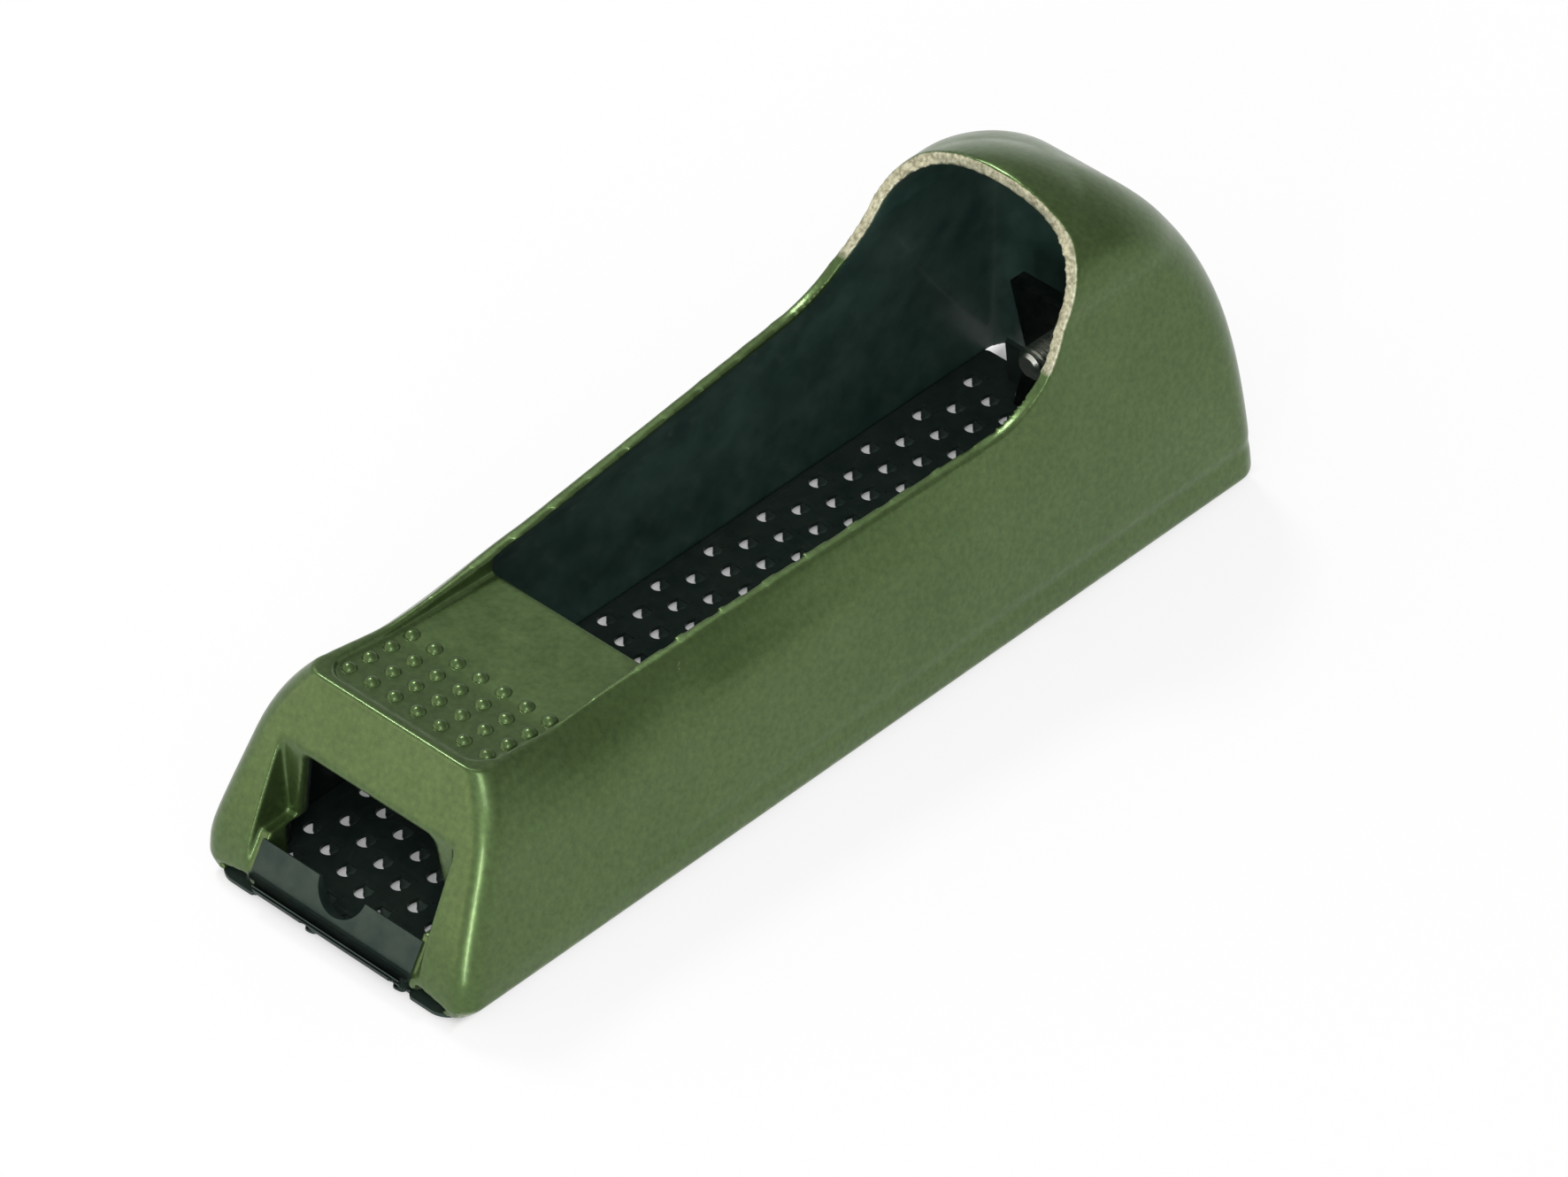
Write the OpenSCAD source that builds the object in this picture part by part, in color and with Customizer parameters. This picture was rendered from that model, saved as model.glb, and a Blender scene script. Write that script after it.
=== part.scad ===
// Small block-type rasp plane: a one-piece cast body with a palm dome, a finger
// rest and a front window, and a thin perforated rasp blade stretched under it.
// Millimetres, +Z up, +Y from the front to the rear, +X to the right.
// Every module works with stations: y counted from the casting's front foot and
// z counted from the seat plane where the blade's top face meets the casting.
// The calls at the end move all of it so that the origin is under the middle.

/* [Casting] */
// Length of the casting along its foot
body_l = 156.4; // [152:0.1:165]
// Width of the casting at its skirt
body_w = 51.4; // [49:0.1:54]
// Height of the palm dome above the blade seat
body_h = 54.8; // [53:0.1:60]
// Height of the upright skirt round the foot
skirt_h = 5; // [3:0.5:7]
// Width and height of the worn chamfer along the foot
foot_chamfer = [1.4, 1.5];
// Wall thickness at the foot
wall_foot = 3.5; // [2.6:0.1:4]
// Wall thickness at the rim and in the dome
wall_rim = 1.9; // [1.5:0.1:2.6]
// Wall thickness at the rear
wall_rear = 2.5; // [2:0.1:3.5]
// Draft of the front flanks, sideways run for each unit of height
flank_draft = 0.2; // [0.15:0.01:0.25]
// Width and height of the soft shoulder where a flank turns in to the rim
shoulder = [3.7, 11];
// How far the shoulders are drawn in at the finger rest
finger_waist = 1.3; // [0:0.1:1.6]
// Lean of the front face, rearward run for each unit of height
nose_lean = 0.535; // [0.5:0.005:0.56]
// Height where the nose starts to lean, and the softness of that turn
nose_turn = [4.8, 4];
// Radius of the upright front corners
front_corner_r = 3.4; // [2:0.1:5]

/* [Rim and arch] */
// Station and height of the crease at the top of the nose
crease = [13.8, 30.5];
// Station and height of the rim's lowest point
rim_low = [28.0, 28.7];
// Station and height where the rim would meet the arch
arch_foot = [116.9, 32.5];
// Station and height where the arch turns upright
arch_turn = [130.2, 51.0];
// Radii at the rim's low point, the arch's foot and its turn
rim_radii = [25, 20, 4];

/* [Palm dome] */
// Station of the dome's highest point
dome_top_y = 131.9; // [130:0.1:135]
// Half width of the dome where its walls end
dome_half_w = 19.1; // [18:0.1:21]
// Height where the dome's walls turn over into its roof
dome_spring_z = 41.6; // [39:0.1:44]
// Height up to which the rear wall is upright
rear_upright_z = 16.2; // [14:0.1:20]
// Radius of the rear corners at the foot and at the dome's top
rear_corner_r = [4.3, 14.0];

/* [Finger rest] */
// Length of the finger rest from the crease to the hand opening
rest_l = 33.3; // [28:0.1:40]
// Half width of the recessed rest
rest_half_w = 15.0; // [13:0.1:16]
// Thickness of the plate under the rest
rest_t = 2.4; // [1.8:0.1:3]
// Step down from the rim to the rest at the crease
rest_step = 0.7; // [0.4:0.1:1.2]
// Radius of the rest's front corners
rest_corner_r = 4; // [1:0.5:6]
// Step down from the rim to the rest at its low point
rest_low_step = 1.1; // [0.8:0.1:1.8]
// Step down from the rim to the rest at the hand opening
rest_end_step = 2.6; // [1.5:0.1:3]
// Radius and height of one grip pip
pip = [1.2, 0.75];
// Pips in a row, and rows
pip_count = [7, 4];
// Pip pitch across and along
pip_pitch = [4.4, 3.85];
// Distance from the crease to the first row of pips
pip_first = 4.6; // [3:0.1:6]

/* [Front window] */
// Half width of the pocket in the nose
pocket_half_w = 16.6; // [16.2:0.1:17.5]
// Station of the pocket's back wall
pocket_back_y = 8.6; // [8:0.1:9]
// Height of the pocket's floor, which is the top of the two hook lugs
lug_top_z = 8.3; // [8:0.1:9.5]
// Half width of the window at the lugs and at its top
window_half_w = [14.6, 12.8];
// Height of the window's top edge
window_top_z = 20.4; // [19:0.1:21]
// Radius of the window's top corners
window_r = 2; // [1:0.5:4]
// Thickness of the wall behind the pocket
pocket_wall = 2.2; // [1.8:0.1:3]
// Relief under the front foot, above the blade's corners
foot_relief = [3.0, 0.4];
// Width and height of the slope that the relief rises by beside the pocket
foot_slope = [4.2, 1.8];

/* [Blade] */
// Length of the blade over both bends
blade_l = 152.3; // [150:0.1:153]
// Width of the blade
blade_w = 46.4; // [44:0.1:48]
// Thickness of the blade
blade_t = 0.6; // [0.4:0.1:0.8]
// How far the front bend stands out of the casting's foot
blade_out = 0.95; // [0.5:0.05:1.5]
// Outer radius of the bends
bend_r = 2.75; // [2.2:0.05:3]
// Angle that each end is bent up and back
bend_angle = 130; // [120:1:140]
// Straight length of each bent tab
tab_l = 4.9; // [4:0.1:5.5]
// Half width of the tabs
tab_half_w = 15.4; // [15:0.1:16]
// Half width that is left at a tab's root between the bending reliefs
tab_root_half_w = 14.2; // [12:0.1:14.8]
// Half width of the round notch in each tab
notch_r = 4.4; // [3:0.1:5]
// Radius of the blade's corners beside the tabs
ear_r = 4; // [3:0.5:5]
// Step from one tooth to the next in its row, across and along
tooth_step = [2.525, 4.397];
// Step from one row of teeth to the next, across and along
row_step = [4.867, -1.498];
// Station of the tooth nearest the left edge at mid length
tooth_origin = [-20.24, 71.83];
// Radius of one tooth's throat
throat_r = 1.15; // [0.9:0.05:1.3]
// How far the teeth stand below the blade
tooth_h = 0.8; // [0.5:0.1:1]
// Length of one tooth's tongue behind its throat
tongue_l = 1.9; // [1.5:0.1:2.2]

/* [Tension gear] */
// Radius of the screw's thread
screw_r = 2.5; // [2:0.1:3]
// Height of the screw's axis above the blade seat
screw_z = 17.6; // [16:0.1:20]
// How far the screw stands out in front of the tension hook
screw_past_hook = 8.08; // [5:0.02:12]
// Radius and height of the screw's head
head = [4.6, 2.4];
// Width and depth of the driver slot
driver_slot = [1.2, 1.3];
// Radius and thickness of the washer
washer = [5.6, 0.8];
// Radius and depth of the washer's seat in the rear wall
seat = [6.2, 1.85];
// Radius and length of the boss inside the rear wall
boss = [7.5, 2.5];
// Radius and thickness of the push-on retaining ring
ring = [4.6, 0.6];
// Half width of the tension hook
hook_half_w = 11; // [8:0.1:12]
// Thickness of the tension hook's plate
hook_t = 3; // [2.4:0.1:4]
// Metal above the screw in the hook
hook_above = 5; // [4.5:0.1:8]
// Gap left between the blade's tabs and what they hook on
hook_gap = 0.3; // [0.25:0.05:0.5]
// Radial clearance of the screw in its bores
screw_gap = 0.08; // [0.03:0.01:0.1]
// Gap between faces that turn on each other
face_gap = 0.05; // [0.02:0.01:0.1]

/* [Hidden] */

half_w = body_w / 2;
blade_front_y = -blade_out;
blade_rear_y = blade_front_y + blade_l;
front_bend_y = blade_front_y + bend_r;
rear_bend_y = blade_rear_y - bend_r;
bend_z = bend_r - blade_t;
head_rear_y = body_l - seat[1] + face_gap + washer[1] + face_gap + head[1];
mid_y = (blade_front_y + head_rear_y) / 2;
lift_z = blade_t + tooth_h;
rest_end_y = crease[0] + rest_l;
boss_front_y = body_l - wall_rear - boss[1];

// Heights at which the casting's skin is drawn: along the flanks, and up the dome
flank_zs = [0, foot_chamfer[1], skirt_h, 9, 13, 17, 20, 22.5, 25, 27, 29, 31, 33];
// Share of the dome's height above the flanks for each of its slices
dome_shares = [0.02, 0.14, 0.27, 0.4, 0.52, 0.63, 0.73, 0.81, 0.88, 0.935, 0.975, 0.998];
// Steps round each upright corner, and stations along each side
corner_steps = 5;
side_steps = 16;
// Shape of the dome's outline: roof, rear slope above and below, flank and corner
roof_power = 2.19;
rear_powers = [2.78, 1.67];
flank_power = 1.61;
corner_power = 2;
flank_pad_y = [47, 110];
far = 40;

function clamp01(t) = min(1, max(0, t));
function ease(t) = let (u = clamp01(t)) u * u * (3 - 2 * u);
function mix(a, b, t) = a + (b - a) * t;

// A path through points, with an arc of radius radii[i] at each inner point
function unit(v) = v / norm(v);
function turn(a, b, c) = acos(max(-1, min(1, unit(b - a) * unit(c - b))));
function arc_points(a, b, c, r) =
    let (run = r * tan(turn(a, b, c) / 2), p = b + unit(a - b) * run, q = b + unit(c - b) * run,
         m = b + unit((p + q) / 2 - b) * (r / cos(turn(a, b, c) / 2)), steps = 8)
    [for (i = [0:steps])
        let (w = turn(a, b, c), t = w * i / steps)
        m + (p - m) * sin(w - t) / sin(w) + (q - m) * sin(t) / sin(w)];
function rounded_path(pts, radii) = [
    pts[0],
    for (i = [1:len(pts) - 2]) each arc_points(pts[i - 1], pts[i], pts[i + 1], radii[i - 1]),
    pts[len(pts) - 1]];

// The edge that the hand opening is cut along, in side view
rim_path = rounded_path([crease, rim_low, arch_foot, arch_turn, [arch_turn[0] + 1, body_h + 1]],
                        rim_radii);
// Height of the rim's straight run at a station
function rim_z(y) =
    y > rim_low[0] ? mix(rim_low[1], arch_foot[1], (y - rim_low[0]) / (arch_foot[0] - rim_low[0]))
    : mix(crease[1], rim_low[1], clamp01((y - crease[0]) / (rim_low[0] - crease[0])));

// Side view of the nose: station of its face at each height
function soft_rise(z) = (z - nose_turn[0] + sqrt(pow(z - nose_turn[0], 2) + pow(nose_turn[1], 2))) / 2;
function nose_y(z) = nose_lean * (soft_rise(z) - soft_rise(0));

// Half width of the skin. skin is 0 outside and 1 inside.
function wall_at(z) = mix(wall_foot, wall_rim, clamp01(z / rim_low[1]));
function waist_share(y) =
    let (u = (y - rim_low[0] - 5) / (rim_low[0] - 7)) abs(u) < 1 ? pow(cos(90 * u), 2) : 0;
function front_half(y, z) =
    half_w - flank_draft * max(0, z - skirt_h)
    - (shoulder[0] + finger_waist * waist_share(y)) * pow(max(0, 1 - (rim_z(y) - z) / shoulder[1]), 2);
function rear_half(z) =
    half_w - (half_w - dome_half_w) * pow(clamp01(z / dome_spring_z), flank_power);
function roof_share(z, top) =
    z <= dome_spring_z ? 1
    : pow(1 - pow((z - dome_spring_z) / (top - dome_spring_z), roof_power), 1 / roof_power);
function flank_mix(y, z) =
    mix(0.4 * ease((y - flank_pad_y[0]) / 9) * ease((z - 6) / 6) * ease((27 - z) / 5), 1,
        clamp01((y - flank_pad_y[0] - 8) / (flank_pad_y[1] - flank_pad_y[0])));
function half_at(y, z, skin) =
    (mix(front_half(y, z), rear_half(z), flank_mix(y, z)) - skin * wall_at(z))
    * roof_share(z, body_h - skin * wall_rim)
    - (1 - skin) * foot_chamfer[0] * max(0, 1 - z / foot_chamfer[1]);

// Ends of the skin in plan at each height
function arch_y(z) =
    arch_foot[0] + (z - arch_foot[1]) * (arch_turn[0] - arch_foot[0]) / (arch_turn[1] - arch_foot[1]);
function skin_front(z, skin) =
    z > flank_zs[len(flank_zs) - 1] ? min(arch_y(z), arch_turn[0]) - 9
    : skin == 0 ? nose_y(z)
    : max(nose_y(z) + wall_rear, pocket_back_y + pocket_wall);
function skin_rear(z, skin) =
    let (end = body_l - skin * wall_rear, top = body_h - skin * wall_rim)
    z <= rear_upright_z ? end
    : dome_top_y + (end - dome_top_y)
        * pow(1 - pow((z - rear_upright_z) / (top - rear_upright_z), rear_powers[0]), 1 / rear_powers[1]);
function skin_corner(z, skin) =
    max(0.6, mix(rear_corner_r[0], rear_corner_r[1], pow(clamp01(z / body_h), corner_power)) - skin * 1.2);

// One closed outline of the skin at height z
function side_points(z, skin) =
    let (y0 = skin_front(z, skin), y1 = skin_rear(z, skin), h1 = half_at(y1, z, skin),
         rf = z > flank_zs[len(flank_zs) - 1] ? 0.3 : front_corner_r - skin * 1.4,
         rr = min(skin_corner(z, skin), h1 * 0.98, (y1 - y0) * 0.5))
    concat(
        [for (i = [0:corner_steps]) let (a = 90 * i / corner_steps, y = y0 + rf * (1 - cos(a)))
            [half_at(y, z, skin) - rf * (1 - sin(a)), y]],
        [for (i = [1:side_steps - 1]) let (y = mix(y0 + rf, y1 - rr, i / side_steps))
            [half_at(y, z, skin), y]],
        [for (i = [0:corner_steps + 2]) let (a = 90 * i / (corner_steps + 2), y = y1 - rr * (1 - sin(a)))
            [half_at(y, z, skin) - rr * (1 - cos(a)), y]]);
function ring_points(z, skin) =
    let (side = side_points(z, skin), n = len(side))
    concat([for (p = side) [p[0], p[1], z]], [for (i = [1:n]) [-side[n - i][0], side[n - i][1], z]]);

// A solid whose skin passes through the outlines at the given heights
module skin_solid(zs, skin) {
    rings = [for (z = zs) ring_points(z, skin)];
    n = len(rings[0]);
    polyhedron(
        points = [for (r = rings) each r],
        faces = concat(
            [[for (i = [0:n - 1]) i]],
            [[for (i = [0:n - 1]) len(zs) * n - 1 - i]],
            [for (k = [0:len(zs) - 2], i = [0:n - 1], t = [0, 1])
                let (a = k * n + i, b = k * n + (i + 1) % n)
                t == 0 ? [b, a, b + n] : [b + n, a, a + n]]),
        convexity = 6);
}

// Draws a side view (station, height) across the width
module across(half) {
    rotate([90, 0, 90]) translate([0, 0, -half]) linear_extrude(height = 2 * half) children();
}

// Draws a front view (width, height) from one station to another
module along(y0, y1) {
    translate([0, y1, 0]) rotate([90, 0, 0]) linear_extrude(height = y1 - y0) children();
}

// Surface of the finger rest in side view, and its underside
rest_path = rounded_path(
    [[crease[0] - 2, crease[1] - rest_step + 0.2],
     [rim_low[0], rim_low[1] - rest_low_step],
     [rest_end_y, rim_z(rest_end_y) - rest_end_step]], [22]);

module rest_ceiling() {
    under = [for (p = rest_path) p - [0, rest_t]];
    across(half_w) polygon(concat([[-far, rest_path[0][1] - rest_t]], under,
        [[rest_end_y, body_h + far], [-far, body_h + far]]));
}

module rest_recess() {
    end_z = rest_path[len(rest_path) - 1][1];
    front_y = crease[0] - 1;
    intersection() {
        across(half_w) polygon(concat(rest_path, [[rest_end_y + 1, end_z],
            [rest_end_y + 1, body_h], [rest_path[0][0], body_h]]));
        linear_extrude(height = body_h) union() {
            translate([-rest_half_w, front_y + rest_corner_r])
                square([2 * rest_half_w, rest_l + 3]);
            translate([rest_corner_r - rest_half_w, front_y])
                square([2 * (rest_half_w - rest_corner_r), rest_l]);
            for (side = [-1, 1])
                translate([side * (rest_half_w - rest_corner_r), front_y + rest_corner_r])
                    circle(r = rest_corner_r, $fn = 48);
        }
    }
}

module hand_opening() {
    across(half_w + 1) polygon(concat([[-far, body_h + far], [-far, crease[1] + 1.4]],
        [[crease[0] - 2, crease[1] + 1.4]], rim_path, [[arch_turn[0] + 1, body_h + far]]));
}

module cavity() {
    difference() {
        skin_solid(concat([-1], [for (i = [1:len(flank_zs) - 1]) flank_zs[i]],
            [for (t = dome_shares) mix(flank_zs[len(flank_zs) - 1], body_h - wall_rim, t)]), 1);
        rest_ceiling();
    }
}

// Side view of the nose that a tab hooks round, with its bend centred at the origin
hook_nose_r = bend_r - blade_t - hook_gap;
// Outline of the space taken by the nose's front: arc, then the leaning face
function nose_outline(reach) = concat(
    [for (i = [0:8]) let (a = 270 - i / 8 * bend_angle) hook_nose_r * [cos(a), sin(a)]],
    [hook_nose_r * [cos(270 - bend_angle), sin(270 - bend_angle)]
        + reach * [cos(180 - bend_angle), sin(180 - bend_angle)]]);

module tab_slot() {
    reach = tab_l - 0.1;
    outline = nose_outline(reach);
    top = outline[len(outline) - 1];
    translate([0, front_bend_y, bend_z]) across(pocket_half_w)
        polygon(concat([[-far, -far], [-far, lug_top_z + 0.01 - bend_z]],
            [[top[0] + 0.1, lug_top_z + 0.01 - bend_z]],
            [for (i = [0:len(outline) - 1]) outline[len(outline) - 1 - i]],
            [[0, -far]]));
}

module front_window() {
    corner_z = window_top_z - window_r;
    along(-far, pocket_back_y + pocket_wall + 6) union() {
        polygon([[-window_half_w[0], -far], [window_half_w[0], -far],
                 [window_half_w[0], lug_top_z], [window_half_w[1], corner_z],
                 [-window_half_w[1], corner_z], [-window_half_w[0], lug_top_z]]);
        translate([-window_half_w[1] + window_r, corner_z - 0.01])
            square([2 * (window_half_w[1] - window_r), window_r + 0.01]);
        for (side = [-1, 1]) translate([side * (window_half_w[1] - window_r), corner_z])
            circle(r = window_r, $fn = 48);
    }
}

module nose_pocket() {
    translate([-pocket_half_w, -far, lug_top_z])
        cube([2 * pocket_half_w, far + pocket_back_y, crease[1] - lug_top_z - 3]);
}

module foot_gap() {
    high = foot_relief[1] + foot_slope[1];
    inner_x = pocket_half_w - 0.5;
    along(-far, foot_relief[0]) for (side = [-1, 1]) scale([side, 1])
        polygon([[inner_x, -1], [half_w, -1], [half_w, foot_relief[1]],
                 [pocket_half_w + foot_slope[0], foot_relief[1]], [pocket_half_w, high], [inner_x, high]]);
}

module pips() {
    for (i = [0:pip_count[0] - 1], j = [0:pip_count[1] - 1]) {
        x = (i - (pip_count[0] - 1) / 2) * pip_pitch[0];
        y = crease[0] + pip_first + j * pip_pitch[1];
        t = clamp01((y - rest_path[0][0]) / (rim_low[0] - rest_path[0][0]));
        z = mix(rest_path[0][1], rim_low[1] - rest_low_step, t) + 0.1;
        ball_r = (pow(pip[0], 2) + pow(pip[1], 2)) / (2 * pip[1]);
        translate([x, y, z + pip[1] - ball_r]) sphere(r = ball_r, $fn = 16);
    }
}

module y_cylinder(r, y0, y1, z) {
    translate([0, y1, z]) rotate([90, 0, 0]) cylinder(r = r, h = y1 - y0, $fn = 64);
}

module body_casting() {
    color([0.36, 0.37, 0.27]) difference() {
        union() {
            difference() {
                skin_solid(concat(flank_zs,
                    [for (t = dome_shares) mix(flank_zs[len(flank_zs) - 1], body_h, t)]), 0);
                cavity();
                hand_opening();
                rest_recess();
            }
            intersection() {
                pips();
                translate([-rest_half_w, crease[0], rim_low[1] - 3]) cube([2 * rest_half_w, rest_l, 5]);
            }
            y_cylinder(boss[0], boss_front_y, body_l - wall_rear + 0.5, screw_z);
        }
        nose_pocket();
        tab_slot();
        front_window();
        foot_gap();
        y_cylinder(screw_r + screw_gap, boss_front_y - 1, body_l + 1, screw_z);
        y_cylinder(seat[0], body_l - seat[1], body_l + 1, screw_z);
    }
}

// Side view of the blade with the front bend's centre at the origin
function bend_arc(r) = [for (i = [0:10]) let (a = 270 - i / 10 * bend_angle) r * [cos(a), sin(a)]];
tab_dir = [cos(180 - bend_angle), sin(180 - bend_angle)];

module blade_end_profile() {
    outer = bend_arc(bend_r);
    inner = bend_arc(bend_r - blade_t);
    last = len(outer) - 1;
    polygon(concat(outer, [outer[last] + tab_l * tab_dir, inner[last] + tab_l * tab_dir],
        [for (i = [0:last]) inner[last - i]]));
}

module blade_end() {
    difference() {
        across(tab_half_w) translate([0, bend_z]) blade_end_profile();
        for (side = [-1, 1])
            translate([side * (tab_root_half_w + far / 2) - far / 2, -far, -far])
                cube([far, far + 0.4, far + relief_z]);
        translate([0, 0, bend_z]) rotate([-(bend_angle - 90), 0, 0])
            translate([0, bend_r + 1, tab_l + 0.4]) rotate([90, 0, 0])
            cylinder(r = notch_r, h = 2 * bend_r + 2, $fn = 48);
    }
}

// Flat of the blade in plan, with ears beside each tab
module blade_plan() {
    for (side = [-1, 1]) scale([side, 1]) ears();
    translate([-blade_w / 2, front_bend_y]) square([blade_w, rear_bend_y - front_bend_y]);
}

// The two ears of one side, at the front and the rear
module ears() {
    half = blade_w / 2;
    ear_l = bend_r - 0.8;
    inner_x = tab_root_half_w + ear_gap;
    for (end = [0, 1]) {
        translate([0, end == 0 ? front_bend_y : rear_bend_y]) scale([1, end == 0 ? -1 : 1])
            polygon(concat(
                [for (i = [0:6]) [inner_x + 1 - cos(15 * i), ear_l - 1 + sin(15 * i)]],
                [for (i = [0:6]) [half - ear_r + ear_r * sin(15 * i), ear_l - ear_r + ear_r * cos(15 * i)]],
                [[half, -1 - ear_r], [inner_x, -1 - ear_r]]));
    }
}

tooth_margin = [2.4, 1.5];
relief_z = bend_z + 0.6;
ear_gap = 0.5;
function on_flat(p) =
    abs(p[0]) < blade_w / 2 - tooth_margin[0]
    && p[1] > front_bend_y + tooth_margin[1] && p[1] < rear_bend_y - tooth_margin[1];
teeth = [for (i = [-40:60], j = [-30:30])
    let (p = tooth_origin + i * tooth_step + j * row_step) if (on_flat(p)) p];

// One throat, a round-backed hole ahead of the tooth
module throat() {
    translate([0, 0, -blade_t - 0.5])
        cylinder(r = throat_r, h = blade_t + 1, $fn = 6);
}

// One tooth: a tongue pressed down from behind the throat to a forward cutting edge
module tongue() {
    fall = atan((tooth_h + 0.1) / tongue_l);
    translate([0, throat_r + 0.5, -0.1]) rotate([fall, 0, 0])
        translate([0, 0, -blade_t + 0.1]) linear_extrude(height = blade_t - 0.1)
        polygon([[-throat_r, 0], [throat_r, 0], [throat_r * 0.5, -tongue_l], [-throat_r * 0.5, -tongue_l]]);
}

module rasp_blade() {
    color([0.08, 0.09, 0.09]) union() {
        difference() {
            translate([0, 0, -blade_t]) linear_extrude(height = blade_t) blade_plan();
            for (p = teeth) translate([p[0], p[1], 0]) throat();
        }
        for (p = teeth) translate([p[0], p[1], 0]) tongue();
        translate([0, front_bend_y, 0]) blade_end();
        translate([0, rear_bend_y, 0]) mirror([0, 1, 0]) blade_end();
    }
}

// Side view of the hook with the rear bend's centre at the origin, drawn facing forward
hook_outline = nose_outline(tab_l - 0.1);
hook_tip = hook_outline[len(hook_outline) - 1];
hook_plate_y = hook_tip[0] + 0.2;
hook_front_y = rear_bend_y - hook_plate_y - hook_t;

module tension_hook() {
    top_z = screw_z + hook_above - bend_z;
    color([0.35, 0.36, 0.36]) difference() {
        translate([0, rear_bend_y, bend_z]) mirror([0, 1, 0]) across(hook_half_w)
            polygon(concat(hook_outline, [[hook_plate_y, hook_tip[1]], [hook_plate_y, top_z],
                [hook_plate_y + hook_t, top_z], [hook_plate_y + hook_t, -hook_nose_r]]));
        y_cylinder(screw_r + screw_gap, rear_bend_y - far / 2, rear_bend_y + far / 2, screw_z);
    }
}

head_y = head_rear_y - head[1];

module tension_screw() {
    color([0.62, 0.63, 0.62]) difference() {
        union() {
            y_cylinder(screw_r, hook_front_y - screw_past_hook, head_y + 0.1, screw_z);
            y_cylinder(head[0], head_y, head_rear_y, screw_z);
        }
        translate([-far / 2, head_rear_y - driver_slot[1], screw_z - driver_slot[0] / 2])
            cube([far, far, driver_slot[0]]);
    }
}

module screw_washer() {
    y0 = body_l - seat[1] + face_gap;
    color([0.66, 0.67, 0.66]) difference() {
        y_cylinder(washer[0], y0, y0 + washer[1], screw_z);
        y_cylinder(screw_r + screw_gap, y0 - 1, y0 + washer[1] + 1, screw_z);
    }
}

module retaining_ring() {
    y1 = boss_front_y - face_gap;
    color([0.3, 0.3, 0.3]) difference() {
        y_cylinder(ring[0], y1 - ring[1], y1, screw_z);
        y_cylinder(screw_r, y1 - ring[1] - 1, y1 + 1, screw_z);
    }
}

// Moves stations to the part's frame: origin under the middle, at the tooth tips
module placed() {
    translate([0, -mid_y, lift_z]) children();
}

placed() body_casting();
placed() rasp_blade();
placed() tension_hook();
placed() tension_screw();
placed() screw_washer();
placed() retaining_ring();
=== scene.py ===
# Looks of the rasp plane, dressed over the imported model.
# The pieces are drawn in millimetres at the stations of the drawing: y from the
# casting's front foot to the rear, z up from the blade's seat. Each is scaled and
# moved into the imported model's frame when it is finished.
import math

import bmesh
import bpy
from mathutils import Matrix, Vector


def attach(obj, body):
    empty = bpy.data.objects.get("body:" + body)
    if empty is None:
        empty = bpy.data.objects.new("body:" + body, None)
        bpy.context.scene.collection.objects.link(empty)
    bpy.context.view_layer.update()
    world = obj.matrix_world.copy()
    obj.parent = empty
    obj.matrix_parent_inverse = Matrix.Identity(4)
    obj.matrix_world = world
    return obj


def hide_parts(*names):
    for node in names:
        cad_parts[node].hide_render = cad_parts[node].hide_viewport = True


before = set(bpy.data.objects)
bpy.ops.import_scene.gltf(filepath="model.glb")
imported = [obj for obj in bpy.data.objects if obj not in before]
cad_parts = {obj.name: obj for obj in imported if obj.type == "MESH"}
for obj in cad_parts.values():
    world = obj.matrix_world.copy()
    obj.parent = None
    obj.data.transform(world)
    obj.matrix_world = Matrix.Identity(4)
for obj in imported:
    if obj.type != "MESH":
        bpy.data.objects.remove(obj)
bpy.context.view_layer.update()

# From the drawing's millimetres to the frame
MM = 0.001
MID_Y = 78.45
LIFT_Z = 1.4
TO_FRAME = Matrix.Scale(MM, 4) @ Matrix.Translation((0, -MID_Y, LIFT_Z))

# How far a cutter reaches past the piece, and a height above all of it
FAR = 40
ABOVE = 100

# Main sizes of the casting
BODY_L = 156.4
HALF_W = 25.7
BODY_H = 54.8
WALL_FOOT = 3.5
WALL_RIM = 1.9
WALL_REAR = 2.5

# Skirt: height, chamfer at the foot (across, up), and the soft line above it
# (depth, height over the skirt, half width) with its start (station, run)
SKIRT_H = 5
SKIRT_CHAMFER = (1.4, 1.5)
SKIRT_LINE = (0.3, 0.6, 0.8)
SKIRT_LINE_START = (22, 20)

# Nose: lean, turn (height, softness), height where it stops leaning, corner, and the
# station behind which no point is judged by the nose
NOSE_LEAN = 0.535
NOSE_TURN = (4.8, 4)
NOSE_TOP = 31
FRONT_CORNER = 3.4
NOSE_DEPTH = 14

# Rim of the opening in side view, from the crease to the crown of the arch
CREASE = (13.8, 30.5)
RIM_LOW = (28.0, 28.7)
ARCH_FOOT = (116.9, 32.5)
ARCH_TURN = (130.2, 51.0)
ARCH_END = (131.2, 55.8)
RIM_RADII = (25, 20, 4)

# Front flank: draft, how it draws in under the rim (depth, reach down), and
# the waist behind the finger rest (depth, middle, half length)
FLANK_DRAFT = 0.2
RIM_DRAW = (3.7, 11)
WAIST = (1.3, 33, 21)

# Where the front flank's section turns into the dome's (start, length), and the
# pad that begins the turn earlier (share; run, foot and top as start, softness)
FLANK_TURN = (55, 63)
PAD_SHARE = 0.4
PAD_RUN = (47, 9)
PAD_FOOT = (6, 6)
PAD_TOP = (27, 5)

# Dome: crown, springing line and the powers of its curves
DOME_TOP_Y = 131.9
DOME_HALF = 19.1
DOME_SPRING = 41.6
DOME_FLANK_POWER = 1.61
DOME_ROOF_POWER = 2.19
REAR_UPRIGHT = 16.2
REAR_POWERS = (2.78, 1.67)
REAR_CORNER = (4.3, 14)

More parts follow.
